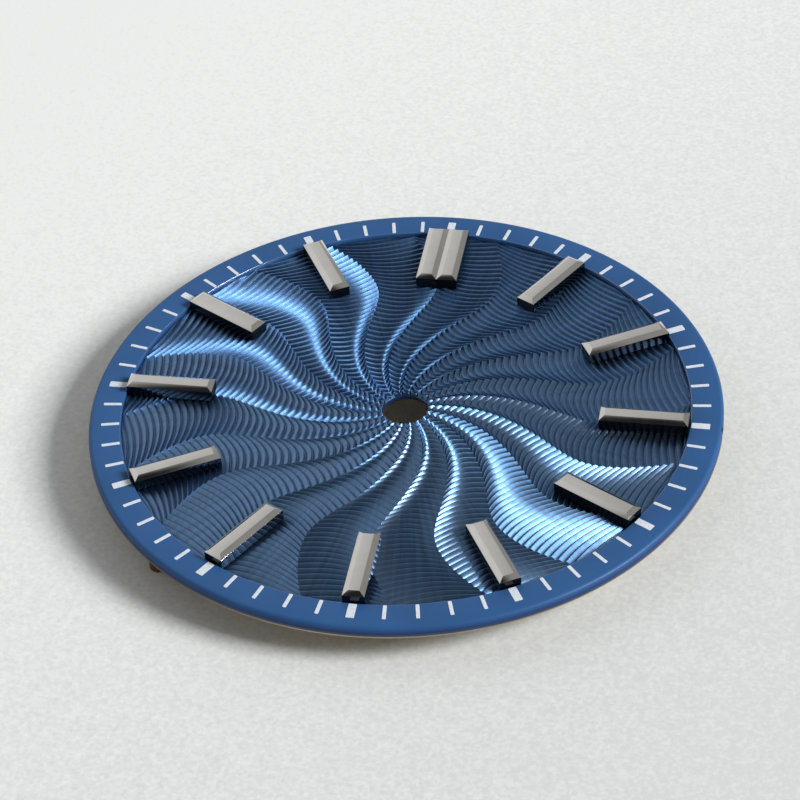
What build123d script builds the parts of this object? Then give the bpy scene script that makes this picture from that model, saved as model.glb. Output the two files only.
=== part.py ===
from build123d import *
import os
from math import cos, hypot, pi, radians, sin

# A watch dial, face up: the back face of its plate lies on z = 0, the centre
# hole runs along z, twelve o'clock is at +Y and three o'clock at +X.
# Lengths are in mm, angles in degrees, azimuths clockwise from twelve.

# Plate, the bare brass blank that carries everything
dial_radius = 14.25
plate_thickness = 0.20
bore_radius = 1.05
nick_radius = 0.16
nick_depth = 0.12

# Minute ring, which stands above the centre
ring_width = 1.45
ring_height = 0.35
shoulder_round = 0.20
shoulder_facets = 2

# Printed marks on the ring
minute_count = 60
minutes_per_hour = 5
mark_margin = 0.06
mark_length = 0.82
mark_thickness = 0.02
minute_mark_width = 0.165
hour_mark_width = 0.36

# Engraved centre disc with its rings of scallops
centre_thickness = 0.18
groove_depth = 0.08
groove_width = 0.38
groove_count = 11
land_margin = 0.12
scallop_count = 20
scallop_chords = 4
scallop_height = 0.45
scallop_height_share = 0.30

# Swirl, the lag of the scallops inside and outside the radius where they turn back
turning_radius = 8.60
inner_lag = 75
inner_easing = 12
outer_lag = 38
outer_easing = 5

# Applied hour indices
hour_count = 12
index_length = 3.96
index_width = 0.966
index_side_height = 0.50
index_bevel_width = 0.24
index_bevel_height = 0.14
index_ring_gap = 0.05
index_pin_radius = 0.20
index_pin_sides = 6
index_pin_recess = 0.03
index_pin_spread_share = 0.56

# Dial feet, copper pins with a flange let into the back of the plate
foot_radius = 0.375
foot_length = 1.50
foot_flange_radius = 0.60
foot_flange_thickness = 0.10
foot_inset = 0.90
foot_azimuths = (224.5, 44.5, 248.5, 68.5)

# Clearance between pieces that fit together, and the overrun of every cut
fit_gap = 0.02
overrun = 0.50

# Worked out from the sizes above
on_base = (Align.CENTER, Align.CENTER, Align.MIN)
ring_inner_radius = dial_radius - ring_width
centre_radius = ring_inner_radius - fit_gap
centre_top = plate_thickness + centre_thickness
ring_top = plate_thickness + ring_height
mark_inner_radius = ring_inner_radius + mark_margin
index_outer_radius = ring_inner_radius - index_ring_gap
index_middle_radius = index_outer_radius - index_length / 2
index_pin_offset = index_length * index_pin_spread_share / 2
foot_circle_radius = dial_radius - foot_inset


def polar(radius, azimuth):
    # Point at a radius and a clockwise azimuth from twelve o'clock
    return (radius * sin(radians(azimuth)), radius * cos(radians(azimuth)))


def at_azimuth(piece, azimuth):
    # Turns a piece made at twelve o'clock to its own azimuth
    return Rot(0, 0, -azimuth) * piece


def disc(radius, base, height):
    return Pos(0, 0, base) * Cylinder(radius, height, align=on_base)


def rim_nick():
    # Locating nick at three o'clock, cut through the ring and the plate
    centre = dial_radius + nick_radius - nick_depth
    return Pos(centre, 0, 0) * Cylinder(nick_radius, 2 * (ring_top + overrun))


def index_pin(radius, base, height):
    # Six-sided shank that stands on a base height, on the z axis
    shank = extrude(RegularPolygon(radius, index_pin_sides, major_radius=False), height)
    return Pos(0, 0, base) * shank


def index_pin_holes():
    # Two holes under each index, through the centre disc and the plate
    hole = index_pin(index_pin_radius + fit_gap, -overrun, centre_top + 2 * overrun)
    holes = []
    for hour in range(hour_count):
        for side in (-1, 1):
            place = Pos(0, index_middle_radius + side * index_pin_offset, 0)
            holes.append(at_azimuth(place * hole, 360 * hour / hour_count))
    return holes


def foot_places():
    return [polar(foot_circle_radius, azimuth) for azimuth in foot_azimuths]


def make_plate():
    # Blank with the centre bore, index pin holes and seats for the foot flanges
    cuts = [rim_nick(), Cylinder(bore_radius, 2 * (plate_thickness + overrun))]
    cuts += index_pin_holes()
    seat = disc(foot_flange_radius + fit_gap, -overrun, foot_flange_thickness + overrun)
    for x, y in foot_places():
        cuts.append(Pos(x, y, 0) * seat)
    return disc(dial_radius, 0, plate_thickness) - cuts


def make_ring():
    # Flat ring turned with a faceted outer shoulder, which follows a quarter round
    corners = [(ring_inner_radius, plate_thickness), (dial_radius, plate_thickness)]
    for facet in range(shoulder_facets + 1):
        turn = radians(90 * facet / shoulder_facets)
        across = dial_radius - shoulder_round * (1 - cos(turn))
        corners.append((across, ring_top - shoulder_round * (1 - sin(turn))))
    corners.append((ring_inner_radius, ring_top))
    profile = make_face(Plane.XZ * Polyline(*corners, close=True))
    return revolve(profile, Axis.Z) - rim_nick()


def swirl(radius):
    # Lag of the scallops at a radius: eased to nothing at the turning radius
    share = (radius - turning_radius) / ring_inner_radius
    if share < 0:
        return hypot(inner_lag * share, inner_easing) - inner_easing
    return hypot(outer_lag * share, outer_easing) - outer_easing


def scallop_reach(radius):
    # Scallop height at a radius, lower near the centre where scallops are narrow
    width = 2 * pi * radius / scallop_count
    return min(scallop_height, scallop_height_share * width)


def scalloped_line(radius, shift):
    # Closed line of scallops whose cusps point outward, anticlockwise
    height = scallop_reach(radius)
    step = 360 / scallop_count
    points = []
    for scallop in range(scallop_count, 0, -1):
        for chord in range(scallop_chords):
            along = 1 - 2 * chord / scallop_chords
            azimuth = step * (scallop - chord / scallop_chords) - swirl(radius)
            points.append(polar(radius + shift + height * (along ** 2 - 0.5), azimuth))
    return Wire.make_polygon([Vector(*point) for point in points], close=True)


def groove_radii():
    # Even steps from the bore to the rim, with a whole land left at each
    first = bore_radius + land_margin + groove_width / 2
    first += scallop_reach(first) / 2
    last = centre_radius - land_margin - groove_width / 2 - scallop_reach(centre_radius) / 2
    pitch = (last - first) / (groove_count - 1)
    return [first + pitch * number for number in range(groove_count)]


def make_centre():
    # Disc cut with rings of scalloped grooves that swirl about the bore
    cuts = [disc(bore_radius, 0, centre_top + overrun)]
    for radius in groove_radii():
        outer = scalloped_line(radius, groove_width / 2)
        inner = scalloped_line(radius, -groove_width / 2)
        band = Pos(0, 0, centre_top - groove_depth) * Face(outer, [inner])
        cuts.append(extrude(band, groove_depth + overrun, dir=(0, 0, 1)))
    cuts += index_pin_holes()
    return disc(centre_radius, plate_thickness, centre_thickness) - cuts


def make_bar():
    # Baton along +Y with a shallow bevel all round its top, seated on the lands
    bar = Box(index_width, index_length, index_side_height, align=on_base)
    foot = Pos(0, 0, index_side_height) * Rectangle(index_width, index_length)
    flat_width = index_width - 2 * index_bevel_width
    flat_length = index_length - 2 * index_bevel_width
    flat = Pos(0, 0, index_side_height + index_bevel_height) * Rectangle(flat_width, flat_length)
    return Pos(0, index_middle_radius, centre_top) * (bar + loft([foot, flat], ruled=True))


def add_pins(bar):
    # Two pins down through the centre disc and the plate
    pin = index_pin(index_pin_radius, index_pin_recess, centre_top - index_pin_recess)
    for side in (-1, 1):
        bar += Pos(0, index_middle_radius + side * index_pin_offset, 0) * pin
    return bar


def make_index():
    return add_pins(make_bar())


def make_twin_index():
    # Two batons side by side in one piece, whose bevels meet in a V groove
    bar = make_bar()
    return add_pins(Pos(-index_width / 2, 0, 0) * bar + Pos(index_width / 2, 0, 0) * bar)


def make_foot(x, y):
    # Plain pin and a flange seated level with the back of the plate
    pin = disc(foot_radius, -foot_length, foot_length + foot_flange_thickness)
    return Pos(x, y, 0) * (pin + disc(foot_flange_radius, 0, foot_flange_thickness))


def make_marks(minutes, width):
    # One printed bar for each minute, laid on the ring
    mark = Box(width, mark_length, mark_thickness, align=(Align.CENTER, Align.MIN, Align.MIN))
    mark = Pos(0, mark_inner_radius, ring_top) * mark
    return Compound([at_azimuth(mark, 360 * minute / minute_count) for minute in minutes])


def main():
    hours = [minute for minute in range(minute_count) if minute % minutes_per_hour == 0]
    minutes = [minute for minute in range(minute_count) if minute % minutes_per_hour]
    nodes = {
        "dial_plate": make_plate(),
        "engraved_centre": make_centre(),
        "minute_ring": make_ring(),
        "minute_marks": make_marks(minutes, minute_mark_width),
        "hour_marks": make_marks(hours, hour_mark_width),
    }
    index = make_index()
    for hour in range(1, hour_count):
        nodes[f"index_{hour:02d}"] = at_azimuth(index, 360 * hour / hour_count)
    nodes[f"index_{hour_count:02d}"] = make_twin_index()
    for number, (x, y) in enumerate(foot_places(), 1):
        nodes[f"dial_foot_{number}"] = make_foot(x, y)
    os.makedirs("parts", exist_ok=True)
    for name, piece in nodes.items():
        export_step(piece, f"parts/{name}.step")


main()
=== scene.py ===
import bpy
import bmesh
from math import cos, hypot, radians, sin
from mathutils import Matrix, Vector


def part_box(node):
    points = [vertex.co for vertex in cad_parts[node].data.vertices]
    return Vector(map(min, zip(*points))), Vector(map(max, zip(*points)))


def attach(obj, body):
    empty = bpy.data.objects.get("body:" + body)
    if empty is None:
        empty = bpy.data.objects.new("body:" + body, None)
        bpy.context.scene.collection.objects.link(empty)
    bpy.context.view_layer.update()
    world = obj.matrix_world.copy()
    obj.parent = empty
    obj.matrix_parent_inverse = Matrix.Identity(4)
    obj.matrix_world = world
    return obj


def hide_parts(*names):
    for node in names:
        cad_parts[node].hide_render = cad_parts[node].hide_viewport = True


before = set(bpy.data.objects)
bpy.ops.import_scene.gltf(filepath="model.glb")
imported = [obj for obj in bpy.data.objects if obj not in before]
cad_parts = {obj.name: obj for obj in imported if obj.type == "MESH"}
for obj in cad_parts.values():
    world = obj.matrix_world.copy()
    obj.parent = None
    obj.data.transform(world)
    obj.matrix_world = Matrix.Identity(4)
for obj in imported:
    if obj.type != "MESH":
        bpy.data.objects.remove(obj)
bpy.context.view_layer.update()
for obj in bpy.context.selected_objects:
    obj.select_set(False)
print("frame loaded")

# Main sizes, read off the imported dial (metres; the back of the plate is z = 0)
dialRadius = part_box("minute_ring")[1][1]
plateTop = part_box("dial_plate")[1][2]
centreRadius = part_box("engraved_centre")[1][1]
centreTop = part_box("engraved_centre")[1][2]
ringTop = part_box("minute_ring")[1][2]
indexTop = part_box("index_06")[1][2]
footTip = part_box("dial_foot_1")[0][2]
hours = 12
minutes = 60

# How near a corner has to be to be picked, how high an edge has to rise to count as upright,
# and how much of a face's normal has to be upright for the face to count as flat
near = dict(height=0.00001, radius=0.00002, rise=0.000005, flat=0.9)


# Small helpers for working on one piece at a time

def active():
    return bpy.context.view_layer.objects.active


def pickOnly(piece):
    for other in bpy.context.selected_objects:
        other.select_set(False)
    piece.select_set(True)
    bpy.context.view_layer.objects.active = piece


def bakePlace(piece):
    # object back to the origin, its place kept in the mesh
    pickOnly(piece)
    bpy.ops.object.transform_apply(location=True, rotation=True, scale=True)


def editOn(piece, kind, pick):
    # edit mode with only what the test picks selected
    pickOnly(piece)
    bpy.ops.object.mode_set(mode="EDIT")
    bpy.ops.mesh.select_mode(type=kind)
    bpy.ops.mesh.select_all(action="DESELECT")
    mesh = bmesh.from_edit_mesh(piece.data)
    for item in {"EDGE": mesh.edges, "FACE": mesh.faces}[kind]:
        item.select_set(pick(item))
    mesh.select_flush_mode()
    bmesh.update_edit_mesh(piece.data)


def editOff(outward=False):
    if outward:
        bpy.ops.mesh.select_all(action="SELECT")
        bpy.ops.mesh.normals_make_consistent(inside=False)
    bpy.ops.object.mode_set(mode="OBJECT")


def level(edge, height):
    # whether an edge lies flat at a height
    return all(abs(vert.co.z - height) < near["height"] for vert in edge.verts)


def circle(radius, height):
    # test for the edges of one turned corner
    def pick(edge):
        turned = all(abs(vert.co.xy.length - radius) < near["radius"] for vert in edge.verts)
        return turned and level(edge, height)
    return pick


def facing(sign):
    # test for the faces that look up, or down where the sign is negative
    return lambda face: face.normal.z * sign > near["flat"]


def roundCorner(piece, radius, height, width, segments):
    editOn(piece, "EDGE", circle(radius, height))
    bpy.ops.mesh.bevel(offset=width, segments=segments, affect="EDGES")
    editOff()


def breakEdges(piece, width, segments=2, angle=20):
    # small round on every sharp edge, applied
    pickOnly(piece)
    bevel = piece.modifiers.new("breakEdges", "BEVEL")
    bevel.width = width
    bevel.segments = segments
    bevel.limit_method = "ANGLE"
    bevel.angle_limit = radians(angle)
    bpy.ops.object.modifier_apply(modifier=bevel.name)


def combine(piece, tool, operation):
    # boolean with a second piece, which is used up
    pickOnly(piece)
    cut = piece.modifiers.new("combine", "BOOLEAN")
    cut.operation = operation
    cut.solver = "EXACT"
    cut.object = tool
    bpy.ops.object.modifier_apply(modifier=cut.name)
    bpy.data.objects.remove(tool)


def smooth(piece, angle=30):
    pickOnly(piece)
    bpy.ops.object.shade_smooth_by_angle(angle=radians(angle))


def rod(name, radius, low, high, spot=(0, 0), sides=48):
    # upright round bar between two heights
    middle = (*spot, (low + high) / 2)
    depth = high - low
    bpy.ops.mesh.primitive_cylinder_add(vertices=sides, radius=radius, depth=depth, location=middle)
    piece = active()
    piece.name = name
    bakePlace(piece)
    return piece


def turnedRing(name, outer, inner, low, high, sides):
    # both faces of a disc are inset and bridged into a bore
    piece = rod(name, outer, low, high, sides=sides)
    editOn(piece, "FACE", lambda face: abs(face.normal.z) > near["flat"])
    bpy.ops.mesh.inset(thickness=outer - inner)
    bpy.ops.mesh.bridge_edge_loops()
    editOff(outward=True)
    return piece


def joined(name, pieces):
    pickOnly(pieces[0])
    for piece in pieces:
        piece.select_set(True)
    bpy.ops.object.join()
    piece = active()
    piece.name = name
    return piece


def polar(radius, azimuth):
    # azimuths run clockwise from twelve o'clock
    return (radius * sin(radians(azimuth)), radius * cos(radians(azimuth)))


def copyTurned(piece, name, azimuth):
    # copy with its own mesh, turned clockwise about the centre hole
    twin = piece.copy()
    twin.data = piece.data.copy()
    twin.name = name
    bpy.context.collection.objects.link(twin)
    twin.data.transform(Matrix.Rotation(radians(-azimuth), 4, "Z"))
    return twin


def dress(piece, material, slotName, *nodes):
    piece.data.materials.clear()
    piece.data.materials.append(material)
    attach(piece, "root")
    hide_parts(*nodes)


# Material helpers: grains are given by their real size in metres

def newMaterial(name, values):
    material = bpy.data.materials.new(name)
    material.use_nodes = True
    shader = material.node_tree.nodes["Principled BSDF"]
    for socket, value in values.items():
        shader.inputs[socket].default_value = value
    return material, shader


def addNode(material, kind, **values):
    node = material.node_tree.nodes.new(kind)
    for key, value in values.items():
        if key in node.inputs:
            node.inputs[key].default_value = value
        else:
            setattr(node, key, value)
    return node


def wire(material, fromSocket, toSocket):
    material.node_tree.links.new(fromSocket, toSocket)


def place(material):
    return addNode(material, "ShaderNodeTexCoord").outputs["Object"]


def grain(material, size, stretch=(1, 1, 1), detail=2.0):
    # noise whose grains are this size, longer along an axis where stretch is below 1
    mapping = addNode(material, "ShaderNodeMapping", Scale=stretch)
    wire(material, place(material), mapping.inputs["Vector"])
    noise = addNode(material, "ShaderNodeTexNoise", Scale=1 / size, Detail=detail)
    wire(material, mapping.outputs["Vector"], noise.inputs["Vector"])
    return noise.outputs["Fac"]


def reach(material):
    # distance of a point from the axis of the dial
    split = addNode(material, "ShaderNodeSeparateXYZ")
    wire(material, place(material), split.inputs["Vector"])
    flat = addNode(material, "ShaderNodeCombineXYZ")
    wire(material, split.outputs["X"], flat.inputs["X"])
    wire(material, split.outputs["Y"], flat.inputs["Y"])
    length = addNode(material, "ShaderNodeVectorMath", operation="LENGTH")
    wire(material, flat.outputs["Vector"], length.inputs[0])
    return length.outputs["Value"]


def polarGrain(material, along, across, detail=2.0):
    # noise laid round the centre, sized in degrees along the turn and in metres across it
    split = addNode(material, "ShaderNodeSeparateXYZ")
    wire(material, place(material), split.inputs["Vector"])
    turn = addNode(material, "ShaderNodeMath", operation="ARCTAN2")
    wire(material, split.outputs["Y"], turn.inputs[0])
    wire(material, split.outputs["X"], turn.inputs[1])
    turns = addNode(material, "ShaderNodeMath", operation="DIVIDE")
    wire(material, turn.outputs[0], turns.inputs[0])
    turns.inputs[1].default_value = radians(along)
    steps = addNode(material, "ShaderNodeMath", operation="DIVIDE")
    wire(material, reach(material), steps.inputs[0])
    steps.inputs[1].default_value = across
    spread = addNode(material, "ShaderNodeCombineXYZ")
    wire(material, turns.outputs[0], spread.inputs["X"])
    wire(material, steps.outputs[0], spread.inputs["Y"])
    noise = addNode(material, "ShaderNodeTexNoise", Scale=1.0, Detail=detail)
    wire(material, spread.outputs["Vector"], noise.inputs["Vector"])
    return noise.outputs["Fac"]


def tint(material, source, dark, light, low=0.35, high=0.65):
    # colour that runs from dark to light over the middle of a grain
    ramp = addNode(material, "ShaderNodeValToRGB")
    ramp.color_ramp.elements[0].position = low
    ramp.color_ramp.elements[0].color = (*dark, 1)
    ramp.color_ramp.elements[1].position = high
    ramp.color_ramp.elements[1].color = (*light, 1)
    wire(material, source, ramp.inputs["Fac"])
    return ramp.outputs["Color"]


def spreadValue(material, source, low, high, fromLow=0.3, fromHigh=0.7):
    span = addNode(material, "ShaderNodeMapRange")
    wire(material, source, span.inputs["Value"])
    span.inputs["From Min"].default_value = fromLow
    span.inputs["From Max"].default_value = fromHigh
    span.inputs["To Min"].default_value = low
    span.inputs["To Max"].default_value = high
    return span.outputs["Result"]


def mixed(material, share, colour, other):
    # first colour where the share is none, second where it is whole
    mix = addNode(material, "ShaderNodeMixRGB")
    wire(material, share, mix.inputs["Fac"])
    wire(material, colour, mix.inputs["Color1"])
    wire(material, other, mix.inputs["Color2"])
    return mix.outputs["Color"]


def product(material, one, other):
    times = addNode(material, "ShaderNodeMath", operation="MULTIPLY")
    wire(material, one, times.inputs[0])
    wire(material, other, times.inputs[1])
    return times.outputs["Value"]


def bump(material, shader, source, height, strength=1.0):
    relief = addNode(material, "ShaderNodeBump", Strength=strength, Distance=height)
    wire(material, source, relief.inputs["Height"])
    wire(material, relief.outputs["Normal"], shader.inputs["Normal"])


def shade(colour, factor):
    return tuple(channel * factor for channel in colour)


# Base plate: a turned brass blank, bored, drilled for the pins and seated for the feet

plate = dict(
    sides=360, bore=0.00105, rimBreak=0.00003, boreBreak=0.00004,
    nickRadius=0.00016, nickDepth=0.00012,
    pinHole=0.00022, pinSpread=0.0011088, indexMiddle=0.01077,
    breakSegments=2, holeSides=24,
    seatRadius=0.00062, seatDepth=0.0001,
    footCircle=0.01335, footAzimuths=(224.5, 44.5, 248.5, 68.5),
)
brass = dict(
    colour=(0.48, 0.39, 0.25), roughness=(0.24, 0.40), stain=0.0025, stainShade=0.8,
    turnedLine=0.00004, turnedArc=40, turnedDepth=0.000002,
    # the very dark blue is the edge paint darkened by painted shade, and painted shade on the bore
    # wall
    paintAndShade=(0.012, 0.036, 0.110), paintFoot=0.00008, paintReach=0.00002, paintBlur=0.00001,
)


def nickTool():
    middle = dialRadius + plate["nickRadius"] - plate["nickDepth"]
    return rod("nickTool", plate["nickRadius"], -ringTop, 2 * ringTop, (middle, 0))


def pinPlaces():
    places = []
    for hour in range(hours):
        for side in (-1, 1):
            radius = plate["indexMiddle"] + side * plate["pinSpread"]
            places.append(polar(radius, 360 * hour / hours))
    return places


def makePlate():
    piece = turnedRing("basePlate", dialRadius, plate["bore"], 0, plateTop, plate["sides"])
    roundCorner(piece, dialRadius, 0, plate["rimBreak"], plate["breakSegments"])
    roundCorner(piece, plate["bore"], 0, plate["boreBreak"], plate["breakSegments"])
    tools = [nickTool()]
    for spot in pinPlaces():
        hole = rod("pinHole", plate["pinHole"], -plateTop, 2 * plateTop, spot, plate["holeSides"])
        tools.append(hole)
    for azimuth in plate["footAzimuths"]:
        spot = polar(plate["footCircle"], azimuth)
        tools.append(rod("footSeat", plate["seatRadius"], -plateTop, plate["seatDepth"], spot))
    combine(piece, joined("plateTools", tools), "DIFFERENCE")
    smooth(piece)
    return piece


def brassMaterial():
    # the dial's blue paint runs over the edge down to a thin bare line, drawn in a very dark blue
    # that is partly painted shade; the same dark blue on the bore wall is painted shade
    material, shader = newMaterial("turnedBrass", {"Metallic": 1.0})
    split = addNode(material, "ShaderNodeSeparateXYZ")
    wire(material, place(material), split.inputs["Vector"])
    start, blur = brass["paintFoot"], brass["paintBlur"]
    rim = dialRadius - brass["paintReach"]
    bore = plate["bore"] + brass["paintReach"]
    raised = spreadValue(material, split.outputs["Z"], 0, 1, start - blur, start + blur)
    outer = spreadValue(material, reach(material), 0, 1, rim - blur, rim)
    shadedBore = spreadValue(material, reach(material), 1, 0, bore, bore + blur)
    either = addNode(material, "ShaderNodeMath", operation="MAXIMUM")
    wire(material, product(material, raised, outer), either.inputs[0])
    wire(material, shadedBore, either.inputs[1])
    paintAndShadeShare = either.outputs["Value"]
    stain = grain(material, brass["stain"], detail=4.0)
    colour, paintAndShade = brass["colour"], brass["paintAndShade"]
    metal = tint(material, stain, shade(colour, brass["stainShade"]), colour)
    blue = tint(material, stain, shade(paintAndShade, brass["stainShade"]), paintAndShade)
    wire(material, mixed(material, paintAndShadeShare, metal, blue), shader.inputs["Base Color"])
    wire(material, spreadValue(material, paintAndShadeShare, 1, 0, 0, 1), shader.inputs["Metallic"])
    lines = polarGrain(material, brass["turnedArc"], brass["turnedLine"])
    wire(material, spreadValue(material, lines, *brass["roughness"]), shader.inputs["Roughness"])
    bump(material, shader, lines, brass["turnedDepth"])
    return material


basePlate = makePlate()
dress(basePlate, brassMaterial(), "brass", "dial_plate")
print("base plate")


# Engraved centre: rings of scallops that swirl round the centre hole

engraving = dict(
    ringCount=38, scallops=20, columns=12,
    # across one ring: steep inner wall, flat crest, long slope outwards and the bottom of its slot,
    # as shares of its half width and of its depth
    sectionShares=((-1, 1), (-0.9, 0.58), (-0.8, 0.18), (-0.72, 0), (-0.54, 0), (-0.46, 0.03),
                   (0.1, 0.33), (0.66, 0.68), (0.84, 1)),
    relief=0.00015, smoothAngle=50,
    spareInside=2, spareOutside=3,  # rings begun inside the bore and past the rim
    height=0.00045, heightRadius=0.003, heightPower=0.7, turning=0.0086,
    innerLag=75, innerEasing=12, outerLag=38, outerEasing=5,
)
lacquer = dict(
    colour=(0.115, 0.250, 0.460), metallic=1.0, roughness=(0.39, 0.45),
    coat=1.0, coatRoughness=0.3, coatIor=1.5, fineTurning=0.93, fineTurningAngle=0.25,
    rayAngle=1.3, rayLength=0.006, rayShades=(0.86, 1.14), speck=0.00006, speckDepth=0.0000012,
)


def swirl(radius):
    # lag of the scallops, eased to nothing at the radius where they turn back
    share = (radius - engraving["turning"]) / centreRadius
    lag, easing = engraving["innerLag"], engraving["innerEasing"]
    if radius > engraving["turning"]:
        lag, easing = engraving["outerLag"], engraving["outerEasing"]
    return hypot(lag * share, easing) - easing


def engravedLine(column):
    # points of one ray of the engraving, from inside the bore to outside the rim:
    # a scallop stands half inside and half outside the radius of its ring
    pitch = (centreRadius - plate["bore"]) / engraving["ringCount"]
    along = 2 * (column % engraving["columns"]) / engraving["columns"] - 1
    turn = 360 * column / (engraving["scallops"] * engraving["columns"])
    line = []
    first, last = -engraving["spareInside"], engraving["ringCount"] + engraving["spareOutside"]
    for ring in range(first, last):
        for across, depth in engraving["sectionShares"]:
            base = plate["bore"] + pitch * (ring + (across + 1) / 2)
            growth = min(1, max(base, 0) / engraving["heightRadius"]) ** engraving["heightPower"]
            radius = base + engraving["height"] * growth * (along * along - 0.5)
            z = centreTop - depth * engraving["relief"]
            line.append((radius, turn - swirl(base), z, depth == 1))
    return line


def makeEngraving():
    columns = engraving["scallops"] * engraving["columns"]
    mesh = bmesh.new()
    rays = []
    for column in range(columns):
        line = engravedLine(column)
        inside = [i for i, point in enumerate(line) if plate["bore"] < point[0] < centreRadius]
        ray = {}
        for i in range(inside[0] - 1, inside[-1] + 2):
            radius, azimuth, z = line[i][:3]
            radius = min(max(radius, plate["bore"]), centreRadius)
            ray[i] = mesh.verts.new((*polar(radius, azimuth), z))
        rays.append(ray)
    groovePoints = {i for i, point in enumerate(engravedLine(0)) if point[3]}
    for column in range(columns):
        here = rays[column]
        after = rays[(column + 1) % columns]
        for i in range(min(min(here), min(after)), max(max(here), max(after))):
            corners = []
            for ray, j in ((here, i), (here, i + 1), (after, i + 1), (after, i)):
                vert = ray[min(max(j, min(ray)), max(ray))]
                if vert not in corners:
                    corners.append(vert)
            if len(corners) > 2:
                mesh.faces.new(corners)
        for i in groovePoints & set(here) & set(after):
            edge = mesh.edges.get((here[i], after[i]))
            if edge:
                edge.smooth = False
    for column in range(0, columns, engraving["columns"]):
        ray = rays[column]
        for i in range(min(ray), max(ray)):
            mesh.edges.get((ray[i], ray[i + 1])).smooth = False
    # walls down to the plate, round the bore and round the rim, and the face that lies on the plate
    loops = []
    for pickEnd in (min, max):
        tops = [ray[pickEnd(ray)] for ray in rays]
        loops += [tops, [mesh.verts.new((vert.co.x, vert.co.y, plateTop)) for vert in tops]]
    boreTop, boreFoot, rimTop, rimFoot = loops
    for first, second in ((boreTop, boreFoot), (boreFoot, rimFoot), (rimFoot, rimTop)):
        for column in range(columns):
            after = (column + 1) % columns
            mesh.faces.new((first[column], second[column], second[after], first[after]))
    data = bpy.data.meshes.new("engravedCentre")
    mesh.to_mesh(data)
    mesh.free()
    piece = bpy.data.objects.new("engravedCentre", data)
    bpy.context.collection.objects.link(piece)
    pickOnly(piece)
    bpy.ops.object.mode_set(mode="EDIT")
    editOff(outward=True)
    smooth(piece, engraving["smoothAngle"])
    return piece


def lacquerMaterial():
    material, shader = newMaterial("blueLacquer", {
        "Metallic": lacquer["metallic"], "Coat Weight": lacquer["coat"],
        "Coat Roughness": lacquer["coatRoughness"], "Coat IOR": lacquer["coatIor"],
        "Anisotropic": lacquer["fineTurning"], "Anisotropic Rotation": lacquer["fineTurningAngle"],
    })
    # the metal is turned too finely to see, which spreads its shine outwards and not round the dial
    around = addNode(material, "ShaderNodeTangent", direction_type="RADIAL", axis="Z")
    wire(material, around.outputs["Tangent"], shader.inputs["Tangent"])
    dim, full = (shade(lacquer["colour"], factor) for factor in lacquer["rayShades"])
    rays = polarGrain(material, lacquer["rayAngle"], lacquer["rayLength"])
    wire(material, tint(material, rays, dim, full), shader.inputs["Base Color"])
    specks = grain(material, lacquer["speck"])
    wire(material, spreadValue(material, specks, *lacquer["roughness"]), shader.inputs["Roughness"])
    bump(material, shader, specks, lacquer["speckDepth"])
    return material


engravedCentre = makeEngraving()
dress(engravedCentre, lacquerMaterial(), "blue_lacquer", "engraved_centre")
print("engraved centre", len(engravedCentre.data.polygons))


# Minute ring: flat, with a rounded outer shoulder, a fine inner lip and a nick at three o'clock

ring = dict(
    sides=360, width=0.00145, shoulder=0.0002, shoulderSegments=8, lip=0.00004, lipSegments=3,
    smoothAngle=35,
)
ringPaint = dict(
    colour=(0.027, 0.099, 0.262), roughness=(0.34, 0.44), specular=0.2,
    # the edge colour over the edge heights is painted shade darkening the lower edge; edgeDull only
    # makes it rougher
    paintedShadeColour=(0.012, 0.042, 0.150), edgeShade=0.85, edgeHeights=(0.00022, 0.00052), edgeDull=0.22,
    lipCoat=1.0, coat=0, lipWidth=0.00006, coatRoughness=0.1, coatIor=2.0,
    cloud=0.004, cloudShades=(0.93, 1.07), speck=0.00008, speckDepth=0.0000015,
)


def makeRing():
    inner = dialRadius - ring["width"]
    piece = turnedRing("minuteRing", dialRadius, inner, plateTop, ringTop, ring["sides"])
    roundCorner(piece, dialRadius, ringTop, ring["shoulder"], ring["shoulderSegments"])
    roundCorner(piece, inner, ringTop, ring["lip"], ring["lipSegments"])
    combine(piece, nickTool(), "DIFFERENCE")
    smooth(piece, ring["smoothAngle"])
    return piece


def ringPaintMaterial():
    material, shader = newMaterial("satinBlue", {
        "Coat Roughness": ringPaint["coatRoughness"], "Coat IOR": ringPaint["coatIor"],
        "Specular IOR Level": ringPaint["specular"],
    })
    inner = dialRadius - ring["width"]
    lip = (inner + ringPaint["lipWidth"] / 2, inner + ringPaint["lipWidth"])
    gloss = spreadValue(material, reach(material), ringPaint["lipCoat"], ringPaint["coat"], *lip)
    wire(material, gloss, shader.inputs["Coat Weight"])
    # painted shade: the paint is drawn darker down the edge, and it is duller there
    split = addNode(material, "ShaderNodeSeparateXYZ")
    wire(material, place(material), split.inputs["Vector"])
    top = spreadValue(material, split.outputs["Z"], 0, 1, *ringPaint["edgeHeights"])
    dim, full = (shade(ringPaint["colour"], factor) for factor in ringPaint["cloudShades"])
    edge = ringPaint["paintedShadeColour"]
    cloud = grain(material, ringPaint["cloud"], detail=3.0)
    even = tint(material, cloud, dim, full)
    paintedEdgeShade = tint(material, cloud, shade(edge, ringPaint["edgeShade"]), edge)
    wire(material, mixed(material, top, paintedEdgeShade, even), shader.inputs["Base Color"])
    specks = grain(material, ringPaint["speck"])
    rough = addNode(material, "ShaderNodeMath", operation="ADD")
    wire(material, spreadValue(material, specks, *ringPaint["roughness"]), rough.inputs[0])
    wire(material, spreadValue(material, top, ringPaint["edgeDull"], 0, 0, 1), rough.inputs[1])
    wire(material, rough.outputs["Value"], shader.inputs["Roughness"])
    bump(material, shader, specks, ringPaint["speckDepth"])
    return material


minuteRing = makeRing()
dress(minuteRing, ringPaintMaterial(), "blue_lacquer", "minute_ring")
print("minute ring")


# Printed marks: low white bars with soft corners, wider ones at the hours

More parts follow.
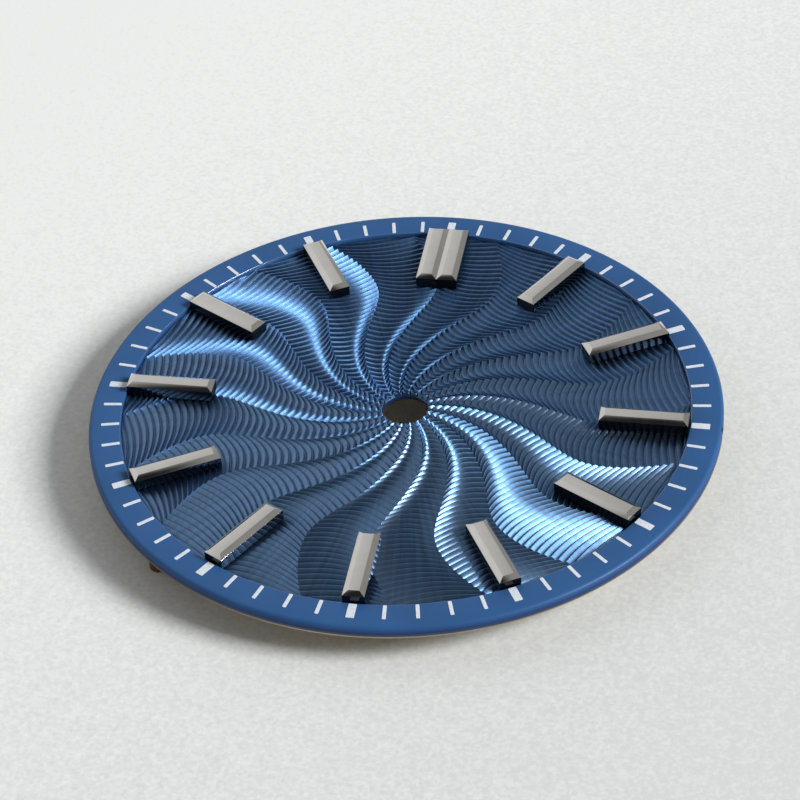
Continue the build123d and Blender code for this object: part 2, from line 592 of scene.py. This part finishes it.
mark = dict(
    inner=0.01286, length=0.00082, thickness=0.00002, minuteWidth=0.000165, hourWidth=0.00036,
    corner=0.00004, cornerSegments=3, topBreak=0.000006, topSegments=1,
)
whiteInk = dict(
    colour=(0.74, 0.80, 0.88), roughness=(0.42, 0.6),
    blotch=0.00012, blotchShade=0.88, blotchDepth=0.000002,
)


def makeMark(width):
    middle = (0, mark["inner"] + mark["length"] / 2, ringTop + mark["thickness"] / 2)
    bpy.ops.mesh.primitive_cube_add(size=1, location=middle)
    piece = active()
    piece.scale = (width, mark["length"], mark["thickness"])
    bakePlace(piece)
    editOn(piece, "EDGE", lambda edge: abs(edge.verts[0].co.z - edge.verts[1].co.z) > near["rise"])
    bpy.ops.mesh.bevel(offset=mark["corner"], segments=mark["cornerSegments"], affect="EDGES")
    editOff()
    editOn(piece, "EDGE", lambda edge: level(edge, ringTop + mark["thickness"]))
    bpy.ops.mesh.bevel(offset=mark["topBreak"], segments=mark["topSegments"], affect="EDGES")
    editOff()
    return piece


def makeMarks(name, width, picked):
    first = makeMark(width)
    marks = [copyTurned(first, name, 360 * minute / minutes) for minute in picked]
    bpy.data.objects.remove(first)
    return joined(name, marks)


def inkMaterial():
    material, shader = newMaterial("whiteInk", {})
    colour = whiteInk["colour"]
    blotch = grain(material, whiteInk["blotch"])
    dim = shade(colour, whiteInk["blotchShade"])
    wire(material, tint(material, blotch, dim, colour), shader.inputs["Base Color"])
    rough = spreadValue(material, blotch, *whiteInk["roughness"])
    wire(material, rough, shader.inputs["Roughness"])
    bump(material, shader, blotch, whiteInk["blotchDepth"])
    return material


ink = inkMaterial()
hourMinutes = [minute for minute in range(minutes) if minute % (minutes // hours) == 0]
otherMinutes = [minute for minute in range(minutes) if minute not in hourMinutes]
minuteMarks = makeMarks("minuteMarks", mark["minuteWidth"], otherMinutes)
hourMarks = makeMarks("hourMarks", mark["hourWidth"], hourMinutes)
dress(minuteMarks, ink, "white_print", "minute_marks")
dress(hourMarks, ink, "white_print", "hour_marks")
print("printed marks")


# Applied batons: polished bars bevelled all round, each on two pins, with a double one at twelve

baton = dict(
    length=0.00396, width=0.000966, bevelWidth=0.00024, bevelHeight=0.00014,
    edgeBreak=0.000008, smoothAngle=18, pinRadius=0.0002, pinSides=24, pinRecess=0.00003,
)
rhodium = dict(
    # side is painted shade: a near-black colour for the upright sides, which also dims part of the
    # edge rounds
    colour=(0.84, 0.815, 0.775), side=(0.055, 0.055, 0.06), shadeTilt=(0.58, 0.84),
    roughness=(0.07, 0.13), cloud=0.0006, cloudShade=0.95, sideShade=0.7,
    scratch=0.00003, scratchLength=0.0008, scratchDepth=0.0000003,
)


def makeBar(shift=0):
    # box whose top face is inset and lifted
    side = indexTop - centreTop - baton["bevelHeight"]
    middle = (shift, plate["indexMiddle"], centreTop + side / 2)
    bpy.ops.mesh.primitive_cube_add(size=1, location=middle)
    piece = active()
    piece.scale = (baton["width"], baton["length"], side)
    bakePlace(piece)
    editOn(piece, "FACE", facing(1))
    bpy.ops.mesh.inset(thickness=baton["bevelWidth"])
    bpy.ops.transform.translate(value=(0, 0, baton["bevelHeight"]))
    editOff()
    return piece


def finishBaton(piece):
    # edges broken, and two pins let into the underside
    breakEdges(piece, baton["edgeBreak"])
    low, high = baton["pinRecess"], centreTop + baton["bevelHeight"]
    for side in (-1, 1):
        spot = (0, plate["indexMiddle"] + side * plate["pinSpread"])
        pin = rod("pin", baton["pinRadius"], low, high, spot, baton["pinSides"])
        combine(piece, pin, "UNION")
    smooth(piece, baton["smoothAngle"])
    return piece


def rhodiumMaterial():
    # painted shade: the upright sides get a near-black colour, while the top, its bevels and the
    # pin ends keep the bright metal
    material, shader = newMaterial("polishedRhodium", {"Metallic": 1.0})
    cloud = grain(material, rhodium["cloud"], detail=4.0)
    split = addNode(material, "ShaderNodeSeparateXYZ")
    geometry = addNode(material, "ShaderNodeNewGeometry")
    wire(material, geometry.outputs["Normal"], split.inputs["Vector"])
    tilt = addNode(material, "ShaderNodeMath", operation="ABSOLUTE")
    wire(material, split.outputs["Z"], tilt.inputs[0])
    flatness = spreadValue(material, tilt.outputs["Value"], 0, 1, *rhodium["shadeTilt"])
    colour, side = rhodium["colour"], rhodium["side"]
    dark = tint(material, cloud, shade(side, rhodium["sideShade"]), side)
    bright = tint(material, cloud, shade(colour, rhodium["cloudShade"]), colour)
    wire(material, mixed(material, flatness, dark, bright), shader.inputs["Base Color"])
    wire(material, spreadValue(material, cloud, *rhodium["roughness"]), shader.inputs["Roughness"])
    stretch = rhodium["scratch"] / rhodium["scratchLength"]
    scratches = grain(material, rhodium["scratch"], stretch=(1, stretch, 1))
    bump(material, shader, scratches, rhodium["scratchDepth"])
    return material


metal = rhodiumMaterial()
single = finishBaton(makeBar())
for hour in range(1, hours):
    piece = copyTurned(single, f"baton{hour:02d}", 360 * hour / hours)
    dress(piece, metal, "rhodium", f"index_{hour:02d}")
bpy.data.objects.remove(single)
double = makeBar(-baton["width"] / 2)
combine(double, makeBar(baton["width"] / 2), "UNION")
finishBaton(double)
double.name = f"baton{hours}"
dress(double, metal, "rhodium", f"index_{hours}")
print("batons")


# Dial feet: copper pins with a flange let into the back of the plate

foot = dict(
    radius=0.000375, flangeRadius=0.0006, flange=0.0001, sides=48,
    neck=0.00004, neckHeight=0.0001, tipBreak=0.00008, tipSegments=3,
)
copper = dict(
    # the copper colour is drawn very dark as painted shade, for feet that stand in shadow under the
    # dial
    colour=(0.28, 0.15, 0.095), roughness=(0.3, 0.46), stain=0.0004, stainShade=0.6,
    dent=0.0001, dentDepth=0.000003,
)


def makeFoot():
    # flange disc whose underside is inset, drawn down as a necked pin, and chamfered at the tip
    piece = rod("foot", foot["flangeRadius"], 0, foot["flange"], sides=foot["sides"])
    editOn(piece, "FACE", facing(-1))
    bpy.ops.mesh.inset(thickness=foot["flangeRadius"] - foot["radius"] + foot["neck"])
    bpy.ops.mesh.extrude_region_move(TRANSFORM_OT_translate={"value": (0, 0, -foot["neckHeight"])})
    grow = foot["radius"] / (foot["radius"] - foot["neck"])
    bpy.ops.mesh.extrude_region_move(TRANSFORM_OT_translate={"value": (0, 0, -foot["neck"])})
    bpy.ops.transform.resize(value=(grow, grow, 1))
    rest = -footTip - foot["neckHeight"] - foot["neck"]
    bpy.ops.mesh.extrude_region_move(TRANSFORM_OT_translate={"value": (0, 0, -rest)})
    editOff()
    roundCorner(piece, foot["radius"], footTip, foot["tipBreak"], foot["tipSegments"])
    return piece


def copperMaterial():
    material, shader = newMaterial("shadeDarkenedCopper", {"Metallic": 1.0})
    colour = copper["colour"]
    stain = grain(material, copper["stain"], detail=4.0)
    dim = shade(colour, copper["stainShade"])
    wire(material, tint(material, stain, dim, colour), shader.inputs["Base Color"])
    wire(material, spreadValue(material, stain, *copper["roughness"]), shader.inputs["Roughness"])
    bump(material, shader, grain(material, copper["dent"]), copper["dentDepth"])
    return material


footMetal = copperMaterial()
firstFoot = makeFoot()
smooth(firstFoot)
for number, azimuth in enumerate(plate["footAzimuths"], 1):
    piece = copyTurned(firstFoot, f"foot{number}", 0)
    x, y = polar(plate["footCircle"], azimuth)
    piece.data.transform(Matrix.Translation((x, y, 0)))
    dress(piece, footMetal, "copper", f"dial_foot_{number}")
bpy.data.objects.remove(firstFoot)
print("dial feet")


# Floor, light and camera

studio = dict(
    # the floor colours run from light to dark across the floor as a painted light gradient
    floorSize=6.0, floorDark=(0.68, 0.70, 0.69), floorLight=(0.89, 0.905, 0.895),
    paintedLightSpan=0.055, floorBlend=1.0, floorTurn=32,
    floorGrain=0.0002, floorSpeck=1.6, floorRoughness=0.85, floorDent=0.00001,
    keyAzimuth=97, keyElevation=34, keyDistance=1.2, keyWidth=0.42, keyHeight=0.42, keyPower=17.5,
    worldDim=0.26, worldBright=0.64,
    brightAzimuth=300, brightElevation=15, brightSpread=(0.2, 0.95),
    cornerAzimuth=184, cornerElevation=66, cornerSpread=(0.85, 0.96), cornerLight=0.06,
)


def heading(azimuth, elevation):
    x, y = polar(cos(radians(elevation)), azimuth)
    return Vector((x, y, sin(radians(elevation))))


def paperMaterial():
    # pale paper with a fine grain, and a painted light gradient that makes it a little lighter
    # towards the far left
    material, shader = newMaterial("palePaper", {"Roughness": studio["floorRoughness"]})
    slope = addNode(material, "ShaderNodeMapping", Rotation=(0, 0, radians(studio["floorTurn"])))
    slope.inputs["Scale"].default_value = (1 / studio["paintedLightSpan"],) * 3
    wire(material, place(material), slope.inputs["Vector"])
    paintedLightAxis = addNode(material, "ShaderNodeSeparateXYZ")
    wire(material, slope.outputs["Vector"], paintedLightAxis.inputs["Vector"])
    specks = grain(material, studio["floorGrain"], detail=5.0)
    blend = addNode(material, "ShaderNodeMath", operation="MULTIPLY_ADD")
    wire(material, specks, blend.inputs[0])
    blend.inputs[1].default_value = studio["floorSpeck"]
    wire(material, paintedLightAxis.outputs["X"], blend.inputs[2])
    middle, half = studio["floorSpeck"] / 2, studio["floorBlend"] / 2
    share = spreadValue(material, blend.outputs["Value"], 0, 1, middle - half, middle + half)
    colour = tint(material, share, studio["floorLight"], studio["floorDark"], 0, 1)
    wire(material, colour, shader.inputs["Base Color"])
    bump(material, shader, specks, studio["floorDent"])
    return material


def makeStudio():
    bpy.ops.mesh.primitive_plane_add(size=studio["floorSize"], location=(0, 0, footTip))
    floor = active()
    floor.name = "floor"
    bakePlace(floor)
    floor.data.materials.append(paperMaterial())
    lamp = bpy.data.lights.new("keyLight", "AREA")
    lamp.shape = "RECTANGLE"
    lamp.size = studio["keyWidth"]
    lamp.size_y = studio["keyHeight"]
    lamp.energy = studio["keyPower"]
    key = bpy.data.objects.new("keyLight", lamp)
    direction = heading(studio["keyAzimuth"], studio["keyElevation"])
    key.location = direction * studio["keyDistance"]
    key.rotation_euler = direction.to_track_quat("Z", "Y").to_euler()
    bpy.context.collection.objects.link(key)


def lightTowards(world, azimuth, elevation, spread, away, there):
    # strength that eases from one value to another as a direction is neared
    nearness = addNode(world, "ShaderNodeVectorMath", operation="DOT_PRODUCT")
    wire(world, addNode(world, "ShaderNodeTexCoord").outputs["Generated"], nearness.inputs[0])
    nearness.inputs[1].default_value = heading(azimuth, elevation)
    ease = addNode(world, "ShaderNodeMapRange", interpolation_type="SMOOTHSTEP")
    wire(world, nearness.outputs["Value"], ease.inputs["Value"])
    ease.inputs["From Min"].default_value = spread[0]
    ease.inputs["From Max"].default_value = spread[1]
    ease.inputs["To Min"].default_value = away
    ease.inputs["To Max"].default_value = there
    return ease.outputs["Result"]


def makeWorld():
    # soft room light, brighter towards a window and darker in the near corner
    world = bpy.data.worlds.new("room")
    bpy.context.scene.world = world
    world.use_nodes = True
    window = lightTowards(world, studio["brightAzimuth"], studio["brightElevation"],
                          studio["brightSpread"], studio["worldDim"], studio["worldBright"])
    corner = lightTowards(world, studio["cornerAzimuth"], studio["cornerElevation"],
                          studio["cornerSpread"], 1, studio["cornerLight"])
    room = world.node_tree.nodes["Background"]
    room.inputs["Color"].default_value = (1, 1, 1, 1)
    wire(world, product(world, window, corner), room.inputs["Strength"])


view = dict(
    place=(0.021211, -0.098154, 0.085531), tilt=49.799, lean=2.999, turn=9.779,
    lens=131.85, sensor=36, near=0.01, far=10,
)


def makeCamera():
    data = bpy.data.cameras.new("camera")
    data.lens = view["lens"]
    data.sensor_width = view["sensor"]
    data.clip_start = view["near"]
    data.clip_end = view["far"]
    camera = bpy.data.objects.new("camera", data)
    camera.location = view["place"]
    camera.rotation_euler = (radians(view["tilt"]), radians(view["lean"]), radians(view["turn"]))
    bpy.context.collection.objects.link(camera)
    bpy.context.scene.camera = camera


makeStudio()
makeWorld()
makeCamera()
bpy.context.scene.view_settings.view_transform = "Standard"
print("studio")
